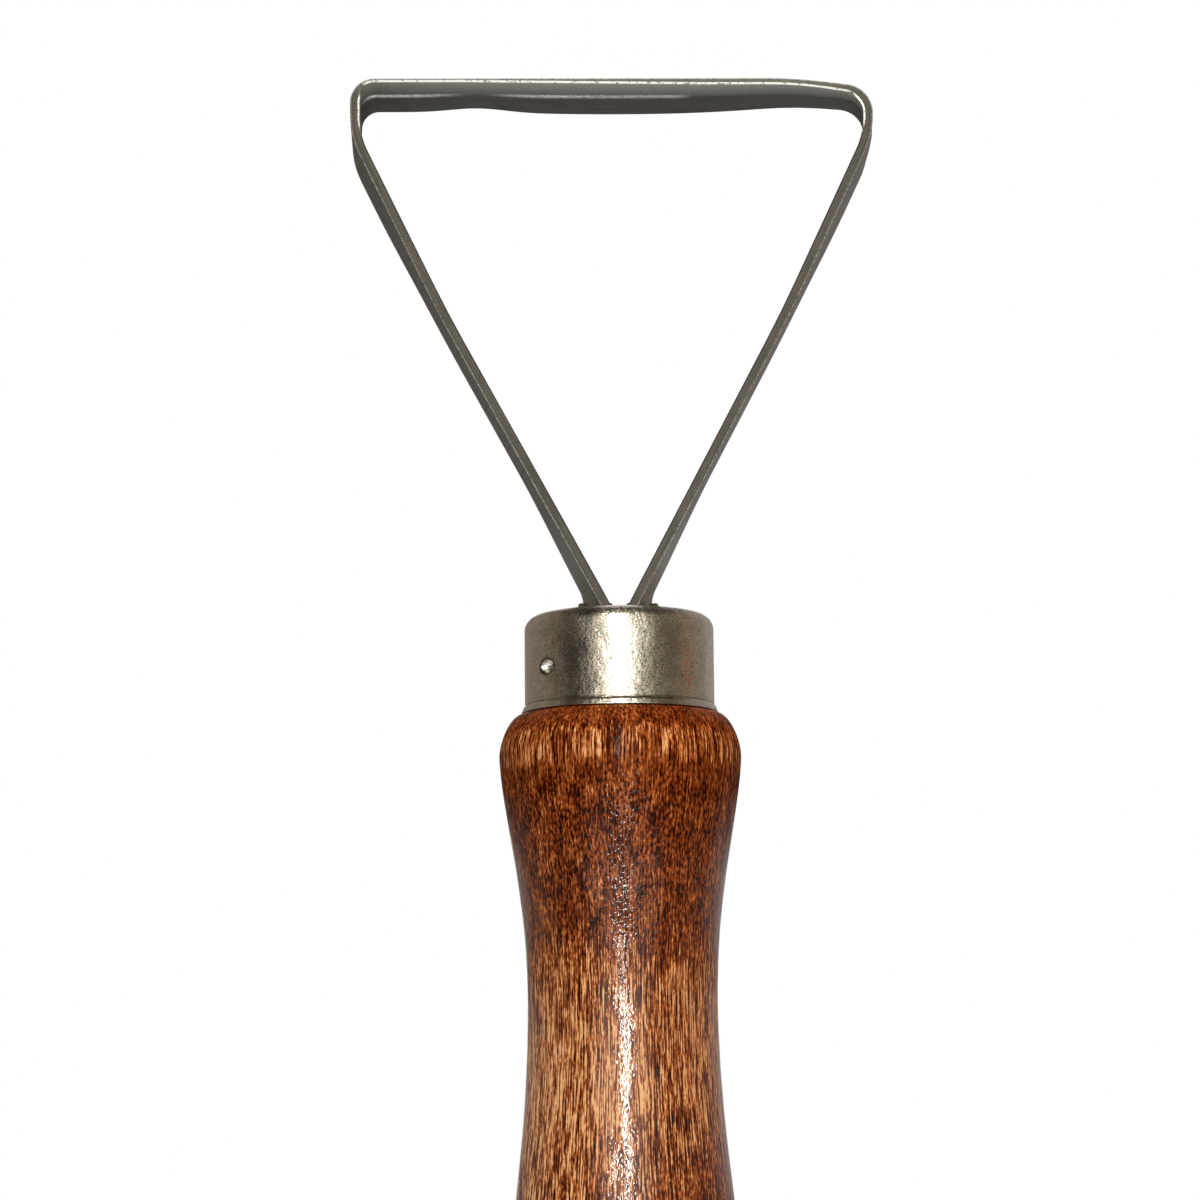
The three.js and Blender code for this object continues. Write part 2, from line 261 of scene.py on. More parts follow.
def bumpOf(tree, height, depth, normal=None):  # depth of the relief in millimetres
    inputs = {"Height": height, "Strength": 1.0, "Distance": depth * mm}
    if normal is not None:
        inputs["Normal"] = normal
    return addNode(tree, "Bump", inputs).outputs[0]


def emptyMaterial(name):
    material = bpy.data.materials.new(name)
    material.use_nodes = True
    material.node_tree.nodes.clear()
    return material, material.node_tree


def startMaterial(name, sockets):  # sockets that are the same all over
    material = bpy.data.materials.new(name)
    material.use_nodes = True
    tree = material.node_tree
    shader = tree.nodes["Principled BSDF"]
    for key, value in sockets.items():
        shader.inputs[key].default_value = value
    return material, tree, shader


def feed(tree, shader, sockets):  # sockets that change over the surface
    for key, value in sockets.items():
        tree.links.new(value, shader.inputs[key])


# Camera: low in front of the loop, looking slightly up, with the tool leaning a little to the left

cameraSettings = {
    "lens": 96.0,
    "sensor": 36.0,
    "aside": -1.97,
    "away": 335.53,
    "height": 93.57,
    "pitchUp": 8.267,
    "lean": 0.56,
    "turn": -0.81,  # degrees about the tool
    "clip": (0.01, 20.0),  # metres
}


def makeCamera():
    s = cameraSettings
    data = bpy.data.cameras.new("viewCamera")
    data.lens = s["lens"]
    data.sensor_width = s["sensor"]
    data.clip_start, data.clip_end = s["clip"]
    camera = addObject("viewCamera", data)
    turn = Matrix.Rotation(math.radians(s["turn"]), 4, "Z")
    stand = Matrix.Translation(Vector((s["aside"], -s["away"], s["height"])) * mm)
    pitch = Matrix.Rotation(math.radians(90 + s["pitchUp"]), 4, "X")
    lean = Matrix.Rotation(math.radians(-s["lean"]), 4, "Z")
    camera.matrix_world = turn @ stand @ pitch @ lean
    bpy.context.scene.camera = camera
    print("camera placed")


# Studio: white all round for the camera, dull cloths beside the tool for its gloss, one soft window in front

studioSettings = {
    "roomLight": (0.40, 0.39, 0.38),
    "clothRadius": 1500.0,
    "clothLift": 0.5,  # of the cloths above the floor
    "clothGap": 10.0,  # degrees each side of straight behind, left open
    "clothTop": 74.0,  # degrees above the horizon behind, left open below it
    "clothInner": 260.0,  # where the cloths on the floor begin
    "clothAround": 160,
    "clothUpward": 56,
    "clothOnFloor": 12,
    "clothOverGap": 9,
    # tone of the cloths by the turn from the front towards +X, and its share by the rise above the horizon
    "clothTurns": [(-180, 0.33, 0.29, 0.26), (-107, 0.30, 0.26, 0.22), (-80, 0.17, 0.14, 0.11),
                   (-60, 0.05, 0.048, 0.04), (-48, 0.07, 0.067, 0.06), (-38, 0.25, 0.24, 0.22),
                   (-22, 1.2, 1.17, 1.1), (-12, 1.4, 1.37, 1.28), (12, 1.4, 1.36, 1.26), (22, 1.15, 1.1, 1.0),
                   (37, 0.35, 0.32, 0.26), (48, 0.16, 0.145, 0.11),
                   (64, 0.2, 0.165, 0.125), (87, 0.30, 0.22, 0.175), (116, 0.35, 0.295, 0.265),
                   (141, 0.47, 0.43, 0.43), (180, 0.40, 0.37, 0.35)],
    "clothRises": [(-30, 0.3), (-16, 0.15), (-10, 0.8), (-4, 1.0), (42, 1.0), (52, 0.2), (90, 0.25)],
    "floorRadius": 1200.0,
    "floorSides": 96,
    "floorDrop": 0.02,  # so that the butt stands clear of it
    "floorWhite": (110.0, 420.0, 0.55, 1.0),  # from, to, and how much white the camera sees at each
    "floorTone": 0.85,
    "floorFill": 0.25,
    "windowAzimuth": -0.8,
    "windowDistance": 1100.0,
    "windowHalfWidth": 3.0,  # degrees, seen from the tool
    "windowLow": -13.0,
    "windowHigh": 44.0,
    "windowWatts": 12.5,
    "windowTone": (1.0, 0.975, 0.93),
    "aimHeight": 130.0,
}


def seenRays(tree):  # rays that show a backdrop: the camera's and those of metal and glass
    path = addNode(tree, "LightPath")
    glossy = calc(tree, "MAXIMUM", path.outputs["Is Camera Ray"], path.outputs["Is Glossy Ray"])
    return calc(tree, "MAXIMUM", glossy, path.outputs["Is Transmission Ray"])


def makeWorld():
    world = bpy.data.worlds.new("studioWorld")
    bpy.context.scene.world = world
    world.use_nodes = True
    tree = world.node_tree
    tree.nodes.clear()
    room = addNode(tree, "Background", {"Color": (*studioSettings["roomLight"], 1), "Strength": 1.0})
    white = addNode(tree, "Background", {"Color": (1, 1, 1, 1), "Strength": 1.0})
    both = addNode(tree, "MixShader", {0: seenRays(tree), 1: room.outputs[0], 2: white.outputs[0]})
    addNode(tree, "OutputWorld", {"Surface": both.outputs[0]})


def makeFloor():
    s = studioSettings
    material, tree = emptyMaterial("floorPaper")
    place = addNode(tree, "TexCoord").outputs["Object"]
    out = addNode(tree, "VectorMath", {0: place}, operation="LENGTH").outputs["Value"]
    near, far, nearWhite, farWhite = s["floorWhite"]
    shown = remap(tree, out, near * mm, far * mm, nearWhite, farWhite)
    shown = calc(tree, "MAXIMUM", shown, addNode(tree, "LightPath").outputs["Is Glossy Ray"])
    paper = addNode(tree, "BsdfDiffuse", {"Color": (*[s["floorTone"]] * 3, 1)})
    white = addNode(tree, "Emission", {"Color": (1, 1, 1, 1), "Strength": 1.0})
    seen = addNode(tree, "MixShader", {0: shown, 1: paper.outputs[0], 2: white.outputs[0]})
    dull = addNode(tree, "BsdfDiffuse", {"Color": (*[s["floorFill"]] * 3, 1)})
    both = addNode(tree, "MixShader", {0: seenRays(tree), 1: dull.outputs[0], 2: seen.outputs[0]})
    addNode(tree, "OutputMaterial", {"Surface": both.outputs[0]})
    rim = ringAt(evenTurns(s["floorSides"]), s["floorRadius"], 0)
    floor = makePiece("floor", rim, [list(range(len(rim)))], material)
    floor.location.z = -s["floorDrop"] * mm


def clothTones(points):
    s = studioSettings
    turn = np.degrees(np.arctan2(points[:, 0], -points[:, 1]))
    rise = np.degrees(np.arctan2(points[:, 2] - s["aimHeight"], np.hypot(points[:, 0], points[:, 1])))
    return readStops(s["clothTurns"], turn) * readStops(s["clothRises"], rise)[:, None]


def sheetOf(rows, turns, first):  # points and faces of one cloth, numbered from first
    points = [(r * math.sin(t), r * math.cos(t), z) for r, z in rows for t in turns]
    count = len(turns)
    corners = [first + i * count + j for i in range(len(rows) - 1) for j in range(count - 1)]
    return points, [[c, c + 1, c + count + 1, c + count] for c in corners]


def makeCloths():  # seen only in gloss: cloths on the floor and all round, open in a strip behind the tool
    s = studioSettings
    material, tree = emptyMaterial("dullCloth")
    cloth = addNode(tree, "Emission", {"Color": meshValue(tree, "clothTone", "Color"), "Strength": 1.0})
    addNode(tree, "OutputMaterial", {"Surface": cloth.outputs[0]})
    gap, top = math.radians(s["clothGap"]), math.radians(s["clothTop"])
    radius, lift = s["clothRadius"], s["clothLift"]

    def dome(rises):
        return [(radius * math.cos(a), lift + radius * math.sin(a)) for a in rises]

    rows = [(r, lift) for r in np.linspace(s["clothInner"], radius, s["clothOnFloor"] + 1)[:-1]]
    rows += dome(np.linspace(0, math.pi / 2, s["clothUpward"]))
    points, faces = sheetOf(rows, np.linspace(gap, 2 * math.pi - gap, s["clothAround"]), 0)
    over = dome(np.linspace(top, math.pi / 2, s["clothOverGap"]))
    overPoints, overFaces = sheetOf(over, np.linspace(-gap, gap, s["clothOverGap"]), len(points))
    points = np.array(points + overPoints)
    cloths = makePiece("sideCloths", points, faces + overFaces, material)
    pointValues(cloths, "clothTone", clothTones(points))
    for rays in ("camera", "diffuse", "transmission", "shadow", "volume_scatter"):
        setattr(cloths, "visible_" + rays, False)


def makeWindow():
    s = studioSettings
    low, high = math.radians(s["windowLow"]), math.radians(s["windowHigh"])
    rise = (low + high) / 2
    data = bpy.data.lights.new("softWindow", "AREA")
    data.shape = "RECTANGLE"
    data.size = 2 * s["windowDistance"] * math.tan(math.radians(s["windowHalfWidth"])) * mm
    data.size_y = 2 * s["windowDistance"] * math.tan((high - low) / 2) * mm
    data.energy = s["windowWatts"]
    data.color = s["windowTone"]
    window = addObject("softWindow", data)
    turn = math.radians(s["windowAzimuth"])
    out = Vector((math.sin(turn) * math.cos(rise), -math.cos(turn) * math.cos(rise), math.sin(rise)))
    window.location = (Vector((0, 0, s["aimHeight"])) + out * s["windowDistance"]) * mm
    window.rotation_mode = "QUATERNION"
    window.rotation_quaternion = out.to_track_quat("Z", "Y")
    window.visible_camera = False
    print("studio lit")


# Handle: turned beech, stained brown and varnished

handleSettings = {
    "beadRadius": 12.72,
    "beadDrop": 4.4,
    "beadFullness": 1.65,
    "waistRadius": 9.9,
    "waistDrop": 29.8,
    "waistSkew": 0.76,
    "palmDrop": 78.0,
    "buttRadius": 11.4,
    "buttRounding": 9.0,
    "buttFaceRadius": 5.5,
    "seatRadius": 10.5,
    "seatEase": 0.3,  # small chamfer in the corner of the seat
    "tenonRadius": 8.9,
    "tenonChamfer": 1.15,
    "tenonDrop": 1.5,  # top of the tenon below the crown of the ferrule
    "rings": {"butt": 24, "palm": 160, "neck": 60, "bead": 32, "tenon": 36},
    "sides": 256,
    "sharpDeg": 50,
    "sideStain": 0.32,  # more of it on the +X side of the palm
    "sideStainReach": 10.0,  # below the waist, over which that comes in
    # how much stain the cut fibres drank, by the drop below the ferrule
    "stainStops": [(0, 0.95), (1.4, 0.75), (2.8, 0.15), (4.9, 0.0), (6.0, 0.45), (7.4, 0.85), (12, 0.95),
                   (17, 0.85), (21, 0.66), (25, 0.4), (28, 0.1), (32, -0.1), (36, -0.3), (41, -0.25),
                   (45, 0.08), (51, 0.34), (66, 0.35), (78, 0.1), (95, 0.2), (112, 0.35), (122, 0.7),
                   (130, 1.0)],
    # share of varnish left on, by the same drop
    "glossStops": [(0, 0.3), (2, 0.04), (8, 0.08), (12, 0.45), (17, 0.95), (22, 1.0),
                   (27, 0.5), (31, 0.95), (42, 0.95), (60, 0.8), (130, 0.6)],
    # grain: size of a cell, then detail and roughness. The first two run round the handle and along it
    "thread": ((0.14, 0.5, 3.2), 1.0, 0.6),
    "fibre": ((0.26, 1.0, 7.0), 1.0, 0.55),
    "band": ((1.7, 1.7, 24.0), 2.0, 0.5),
    "patch": ((1.9, 1.9, 2.8), 3.0, 0.6),
    "fleck": ((0.2, 0.2, 0.6), 1.0, 0.5),
    "swell": ((3.5, 3.5, 7.0), 1.0, 0.55),
    "ripple": ((0.34, 0.34, 0.42), 1.0, 0.6),
    # how far from the middle each noise is still told apart
    "threadReach": 0.14,
    "fibreReach": 0.18,
    "fleckReach": 0.16,
    # how much each grain tells on the light wood, on the stained wood and on where the stain lies
    "lightShares": {"thread": 1.05, "fibre": 0.5, "fleck": 0.5},
    "lightStart": -0.55,
    "stainedShares": {"fleck": 0.6, "thread": 0.4, "patch": 1.1},
    "stainedStart": -0.755,
    "stainShares": {"patch": 1.0, "fibre": 0.35},
    "stainStart": -0.675,
    "stainEdge": (0.25, 0.6),
    # by the depth of the stain: from, to, and the value at each
    "paleLift": (-0.4, 0.15, 0.24, 0.0),
    "bandShare": (-0.3, 0.05, 0.65, 0.15),
    "rippleShare": (-0.25, 0.85, 0.45, 1.05),
    # the bead was sanded finer: drops between which the contrast changes, and its share at each
    "beadCalm": (5.0, 10.0, 0.74, 1.0),
    "middleTone": 0.48,
    "tones": [(0.0, (42, 9, 0)), (0.12, (66, 22, 3)), (0.26, (95, 37, 9)), (0.42, (124, 57, 21)),
              (0.58, (152, 79, 36)), (0.74, (182, 106, 54)), (0.88, (212, 142, 86)), (1.0, (236, 180, 126))],
    "sideTint": (1.0, 0.91, 0.8, 1.0),  # of the +X side
    "sideTintFrom": (-2.0, 7.0),  # across the handle, where it starts and where it is full
    "poreRelief": 0.01,
    "swellRelief": 0.3,
    "rippleRelief": 0.075,
    "sockets": {"Roughness": 0.6, "Specular IOR Level": 0.0, "Coat Roughness": 0.07, "Coat IOR": 1.6},
}


def bodyRadius(drop):  # between the waist and the butt, by the drop below the seat
    s = handleSettings
    waist, palm = s["waistDrop"], s["palmDrop"]
    palmRadius = handleHigh[1]
    upper = sweep(s["waistRadius"], palmRadius, np.clip((drop - waist) / (palm - waist), 0, 1))
    lower = sweep(palmRadius, s["buttRadius"], np.clip((drop - palm) / (seatZ - palm), 0, 1))
    return np.where(drop < palm, upper, lower)


def handleProfile():  # radius and height, from the flat of the butt over the tenon to the floor of the socket
    s, rings = handleSettings, handleSettings["rings"]
    face, rounding = s["buttFaceRadius"], s["buttRounding"]
    turn = np.pi / 2 * stepsTo(0, 1, rings["butt"])
    height = rounding * (1 - np.cos(turn))
    butt = np.stack([face + (bodyRadius(seatZ - height) - face) * np.sin(turn), height], 1)
    drop = stepsTo(seatZ - rounding, s["waistDrop"], rings["palm"])
    palm = np.stack([bodyRadius(drop), seatZ - drop], 1)
    t = stepsTo(0, 1, rings["neck"])
    neck = np.stack([sweep(s["beadRadius"], s["waistRadius"], (1 - t) ** s["waistSkew"]),
                     seatZ - s["waistDrop"] + (s["waistDrop"] - s["beadDrop"]) * t], 1)
    rise = np.sin(np.pi / 2 * stepsTo(0, 1, rings["bead"]))
    full = s["beadFullness"]
    bead = np.stack([s["seatRadius"] + (s["beadRadius"] - s["seatRadius"]) * (1 - rise ** full) ** (1 / full),
                     seatZ - s["beadDrop"] * (1 - rise)], 1)
    tenon, ease, chamfer = s["tenonRadius"], s["seatEase"], s["tenonChamfer"]
    top = crownZ - s["tenonDrop"]
    socket = epoxyHigh[0] + fitGap
    inside = [(tenon + ease, seatZ), (tenon, seatZ + ease)]
    inside += [(tenon, z) for z in np.linspace(seatZ + 2 * ease, top - chamfer, rings["tenon"])]
    inside += [(tenon - chamfer, top), (socket, top), (socket, epoxyLow[2] - fitGap)]
    return np.concatenate([[(face, 0)], butt, palm, neck, bead, inside])


def makeHandle():
    s = handleSettings
    angles = evenTurns(s["sides"])
    radius, height = np.split(handleProfile(), 2, 1)
    radius = radius - tenonPits(angles, height, radius)
    rings = np.stack([radius * np.cos(angles), radius * np.sin(angles), height + 0 * radius], -1)
    points, faces = closeEnds(rings.reshape(-1, 3), s["sides"], (0, 0, 0), (0, 0, height[-1, 0]))
    piece = makePiece("turnedHandle", points, faces, beechMaterial(), s["sharpDeg"])
    drop = seatZ - points[:, 2]
    out = np.maximum(np.hypot(points[:, 0], points[:, 1]), 1)  # not 0 at the two tips on the axis
    sideStain = smooth(s["waistDrop"], s["waistDrop"] + s["sideStainReach"], drop) * s["sideStain"]
    pointValues(piece, "stainDepth", readStops(s["stainStops"], drop) + sideStain * points[:, 0] / out)
    pointValues(piece, "glossShare", readStops(s["glossStops"], drop))
    seatPiece(piece, "handle")


def beechMaterial():
    s = handleSettings
    material, tree, shader = startMaterial("stainedBeech", s["sockets"])
    place = objectPlace(tree)
    turned = roundPlace(tree, place, s["waistRadius"])
    grains = {
        "thread": stretch(tree, grainAt(tree, turned, *s["thread"]), s["threadReach"]),
        "fibre": stretch(tree, grainAt(tree, turned, *s["fibre"]), s["fibreReach"]),
        "fleck": stretch(tree, grainAt(tree, place, *s["fleck"]), s["fleckReach"]),
        "patch": grainAt(tree, place, *s["patch"]),
    }

    def weighed(shares, start):
        return weigh(tree, [(grains[name], share) for name, share in shares.items()], start)

    depth = meshValue(tree, "stainDepth")
    pale = calc(tree, "ADD", remap(tree, depth, *s["paleLift"]), s["lightStart"])
    band = calc(tree, "SUBTRACT", grainAt(tree, place, *s["band"]), 0.5)
    light = weigh(tree, [(band, remap(tree, depth, *s["bandShare"]))], weighed(s["lightShares"], pale))
    stained = weighed(s["stainedShares"], s["stainedStart"])
    stain = weighed(s["stainShares"], calc(tree, "ADD", depth, s["stainStart"]))
    stain = remap(tree, stain, *s["stainEdge"])
    both = addNode(tree, "Mix", {0: stain, 2: light, 3: stained}).outputs[0]
    aside, _, height = split(tree, place)
    calm = remap(tree, calc(tree, "SUBTRACT", seatZ, height), *s["beadCalm"])
    both = weigh(tree, [(calc(tree, "SUBTRACT", both, s["middleTone"]), calm)], s["middleTone"])
    tone = toneRamp(tree, both, s["tones"])
    tone = mixTones(tree, remap(tree, aside, *s["sideTintFrom"]), tone, s["sideTint"], "MULTIPLY")
    swell = bumpOf(tree, grainAt(tree, place, *s["swell"]), s["swellRelief"])
    torn = remap(tree, depth, *s["rippleShare"], "LINEAR")
    ripple = times(tree, grainAt(tree, place, *s["ripple"]), torn)
    feed(tree, shader, {
        "Base Color": tone,
        "Normal": bumpOf(tree, calc(tree, "ADD", grains["thread"], grains["fleck"]), s["poreRelief"]),
        "Coat Weight": meshValue(tree, "glossShare"),
        "Coat Normal": bumpOf(tree, ripple, s["rippleRelief"], swell),
    })
    return material


# Ferrule: drawn cup of nickel-plated metal with two punch marks

ferruleSettings = {
    "barrelRadius": 10.0,
    "wall": 0.8,
    "shoulder": 1.65,
    "crown": 0.4,
    "rimEase": 0.1,
    "rings": {"lip": 19, "barrel": (7, 80, 5), "shoulder": 24, "crown": 12, "ceiling": 4, "innerShoulder": 8},
    "sides": 192,
    "sharpDeg": 35,
    # the lip by height above the rim: how far it stands out of the barrel
    "lipSteps": [(0.0, 0.32), (0.03, 0.37), (0.08, 0.37), (0.53, 0.22), (0.58, 0.19), (0.78, 0.03),
                 (0.9, 0.0)],
    "lipWave": 0.05,
    "lipWaves": [(9, 1.1, 1.0), (23, 0.4, 1.0), (41, 0.0, 0.7)],  # how the spinning tool wandered
    "lipWaveRise": (0.0, 0.4),
    "lipWaveFall": (0.7, 0.9),
    "lineHeight": 0.86,  # of the painted shade in the corner over the lip
    "lineReach": 0.08,
    "lipLineShade": 0.6,  # its strength as a share of the painted shade round a pit
    "windowHalf": (4.95, 5.6),
    "windowSquareness": 10.0,
    "windowRounding": 0.12,
    "windowRings": (0.35, 0.7, 1.0),  # shares of the way round that edge
    "windowEase": 0.05,
    "punchAngle": 50.5,  # degrees from the front, towards -X
    "punchHeight": 4.35,
    "punchAround": 2.6,  # the mesh is finer this near to a punch mark, round the barrel and along it
    "punchAlong": 2.4,
    "punchSides": 91,
    "leastTurn": 0.001,  # radians between two angles of the mesh
    "pitRadius": 1.0,
    "pitDepth": 0.72,
    "pitSquat": 0.75,  # height over width
    "pitRoom": 0.1,  # in the tenon, under the metal that the punch pushed in, and then round it
    "pitRoomAround": 0.6,
    "pitShadeAt": 1.07,  # where the ring of painted shade round a pit lies, in radii of the pit, as the next two are
    "pitShadeReach": 0.18,
    "pitShineEdge": (0.65, 0.95),
    "pitPolish": 0.14,  # off the roughness
    "dentRadius": 1.9,
    "dentDepth": 0.16,
    "ridgeRadius": 1.15,
    "ridgeRise": 0.05,
    "ridgeReach": 0.3,
    # grain: size of a cell, then detail and roughness, and distortion
    "cloud": ((2.0, 2.0, 2.6), 3.0, 0.6),
    "tint": ((0.5, 0.5, 0.8), 2.0, 0.6),
    "crumple": ((0.36, 0.36, 0.15), 1.0, 0.6, 0.6),  # wider than tall, so that its glints come out round
    "pits": ((0.24, 0.24, 0.11), 1.0, 0.7),
    "rustAndGlint": ((0.2, 0.2, 0.4), 2.0, 0.6),
    "plateTones": [(0.3, (190, 183, 172)), (0.7, (218, 212, 203))],
    "tintTones": [(0.35, (255, 246, 238)), (0.65, (240, 246, 234))],
    # by the noise: from, to, and the share, or the roughness, at each
    "pitShare": (0.56, 0.66, 0.0, 0.68),
    "rustAndGlintShare": (0.5, 0.58, 0.0, 0.5),
    "roughness": (0.35, 0.65, 0.19, 0.27),
    "pitTone": (62, 54, 45),
    # orange specks on the front of the +X side: partly rust, partly painted glints
    "rustAndGlintAside": (5.9, 8.1, 0.8),  # from, to and softness, across the front and above the rim
    "rustAndGlintAbove": (1.4, 6.8, 1.4),
    "rustAndGlintTone": (236, 146, 100),
    "shineTone": (250, 246, 238),
    "paintedShadeShare": 0.9,
    "paintedShadeTone": (40, 34, 28),
    "cloudRelief": 0.12,
    "crumpleRelief": 0.034,
    "pitRelief": 0.03,
}


def punchPlaces():
    s = ferruleSettings
    first = math.radians(270 - s["punchAngle"])
    return [(first, rimZ + s["punchHeight"]), (first + math.pi, rimZ + s["punchHeight"])]


def reachOf(angle, z, centre, height, squat=1.0):  # distance over the barrel from a punch mark
    aside = (angle - centre + math.pi) % (2 * math.pi) - math.pi
    return np.hypot(aside * ferruleSettings["barrelRadius"], (z - height) / squat)


def inPitOf(angle, z, centre, height):  # 0 in the middle of a pit, 1 at its rim
    s = ferruleSettings
    return reachOf(angle, z, centre, height, s["pitSquat"]) / s["pitRadius"]


def punchDepth(angle, z):
    s = ferruleSettings
    depth = 0
    for centre, height in punchPlaces():
        reach = reachOf(angle, z, centre, height)
        pit = s["pitDepth"] * np.maximum(1 - inPitOf(angle, z, centre, height) ** 2, 0)
        dent = s["dentDepth"] * bell(reach, 0, s["dentRadius"])
        ridge = s["ridgeRise"] * bell(reach, s["ridgeRadius"], s["ridgeReach"])
        depth = depth + pit + dent - ridge
    return depth


def tenonPits(angle, z, radius):  # room in the tenon for the metal that the punch pushed in
    s = ferruleSettings
    depth = 0
    for centre, height in punchPlaces():
        near = 1 - smooth(0, s["pitRadius"] + s["pitRoomAround"], reachOf(angle, z, centre, height))
        depth = depth + (s["pitDepth"] + s["pitRoom"]) * near
    onTenon = np.isclose(radius, handleSettings["tenonRadius"])
    return np.where(onTenon, depth, 0)


def ferruleAngles():  # closer together round the punch marks
    s = ferruleSettings
    near = s["punchAround"] / s["barrelRadius"]
    angles = [evenTurns(s["sides"])]
    close = np.linspace(-near, near, s["punchSides"])
    angles += [(centre + close) % (2 * math.pi) for centre, _ in punchPlaces()]
    merged = np.sort(np.concatenate(angles))
    return merged[np.append(np.diff(merged) > s["leastTurn"], True)]


def lipWander(angles, height):
    s = ferruleSettings
    waves = sum(share * np.sin(count * angles + start) for count, start, share in s["lipWaves"])
    total = sum(share for _, _, share in s["lipWaves"])
    room = smooth(*s["lipWaveRise"], height) * (1 - smooth(*s["lipWaveFall"], height))
    return s["lipWave"] * room * waves / total


def ferruleRings(angles):  # up the outside, down through the window and inside to the rim
    s, counts = ferruleSettings, ferruleSettings["rings"]
    radius, wall, shoulder = s["barrelRadius"], s["wall"], s["shoulder"]
    top = crownZ - s["crown"]
    flat = radius - shoulder
    window = squareRadius(angles, s["windowHalf"], s["windowSquareness"])
    rings = []

    def addRing(r, z):
        rings.append(ringAt(angles, r, z))

    def crownAt(r):
        return top + s["crown"] * (1 - (r / flat) ** 2)

    heights, outs = np.array(s["lipSteps"]).T
    for height in np.unique([*heights, *np.linspace(heights[2], heights[-1], counts["lip"])]):
        addRing(radius + np.interp(height, heights, outs), rimZ + height + lipWander(angles, height))
    low, high = rimZ + heights[-1], top - shoulder
    middle, along = rimZ + s["punchHeight"], s["punchAlong"]
    stages = [low, middle - along, middle + along, high]
    levels = np.concatenate([stepsTo(*ends) for ends in zip(stages, stages[1:], counts["barrel"])])
    for z in levels:
        addRing(radius - punchDepth(angles, z), z)
    for r, z in arcSteps((flat, high), shoulder, 0, 90, counts["shoulder"]):
        addRing(r, z)
    rounding = s["windowRounding"]
    for t in stepsTo(0, 1, counts["crown"]):
        r = flat + (window + rounding - flat) * t
        addRing(r, crownAt(r))
    for t in s["windowRings"]:
        turn = t * math.pi / 2
        addRing(window + rounding * (1 - math.sin(turn)), crownAt(window) - rounding * (1 - math.cos(turn)))
    ceiling, ease = top - wall, s["windowEase"]
    addRing(window, ceiling + ease)
    addRing(window + ease, ceiling)
    inner, innerShoulder = radius - wall, shoulder - wall
    innerFlat = inner - innerShoulder
    for t in stepsTo(0, 1, counts["ceiling"]):
        addRing(window + ease + (innerFlat - window - ease) * t, ceiling)
    centre = (innerFlat, ceiling - innerShoulder)
    for r, z in arcSteps(centre, innerShoulder, 90, 0, counts["innerShoulder"]):
        addRing(r, z)
    for z in levels[::-1]:
        addRing(inner - punchDepth(angles, z), z)
    addRing(inner, rimZ + s["rimEase"])
    addRing(inner + s["rimEase"], rimZ)
    return rings


def makeFerrule():
    s = ferruleSettings
    angles = ferruleAngles()
    rings = ferruleRings(angles)
    points = np.concatenate(rings)
    faces = ringFaces(len(rings), len(angles), True)
    piece = makePiece("nickelFerrule", points, faces, nickelMaterial(), s["sharpDeg"])
    turns, heights = np.arctan2(points[:, 1], points[:, 0]), points[:, 2]
    # painted shade: a dark line in the corner over the lip and a dark ring round each pit, where shade falls
    paintedShade = s["lipLineShade"] * bell(heights, rimZ + s["lineHeight"], s["lineReach"])
    shine = 0
    for centre, height in punchPlaces():
        inPit = inPitOf(turns, heights, centre, height)
        paintedShade = paintedShade + bell(inPit, s["pitShadeAt"], s["pitShadeReach"])
        shine = shine + 1 - smooth(*s["pitShineEdge"], inPit)
    pointValues(piece, "pitAndLipShade", paintedShade)
    pointValues(piece, "pitShine", shine)
    seatPiece(piece, "ferrule")


def nickelMaterial():
    s = ferruleSettings
    material, tree, shader = startMaterial("pittedNickel", {"Metallic": 1.0})
    place = objectPlace(tree)
    cloud, tint, crumple, pits, rustAndGlint = [
        grainAt(tree, place, *s[name]) for name in ("cloud", "tint", "crumple", "pits", "rustAndGlint")
    ]
    aside, _, height = split(tree, place)
    rustAndGlintLevels = between(tree, calc(tree, "SUBTRACT", height, rimZ), *s["rustAndGlintAbove"])
    spot = times(tree, between(tree, aside, *s["rustAndGlintAside"]), rustAndGlintLevels)
    shine = meshValue(tree, "pitShine")
    tints = toneRamp(tree, tint, s["tintTones"])
    tone = mixTones(tree, 1.0, toneRamp(tree, cloud, s["plateTones"]), tints, "MULTIPLY")
    tone = layTones(tree, tone, [
        (remap(tree, pits, *s["pitShare"]), s["pitTone"]),
        # rust specks, partly painted glints
        (times(tree, remap(tree, rustAndGlint, *s["rustAndGlintShare"]), spot), s["rustAndGlintTone"]),
        (shine, s["shineTone"]),
        # painted shade in the corner over the lip and round each pit
        (times(tree, meshValue(tree, "pitAndLipShade"), s["paintedShadeShare"]), s["paintedShadeTone"]),
    ])
    relief = bumpOf(tree, crumple, s["crumpleRelief"], bumpOf(tree, cloud, s["cloudRelief"]))
    feed(tree, shader, {
        "Base Color": tone,
        "Roughness": weigh(tree, [(shine, -s["pitPolish"])], remap(tree, cloud, *s["roughness"])),
        "Normal": bumpOf(tree, calc(tree, "SUBTRACT", 1.0, pits), s["pitRelief"], relief),
    })
    return material


# Loop: one steel strip bent to a triangle, its front edge ground on the inside

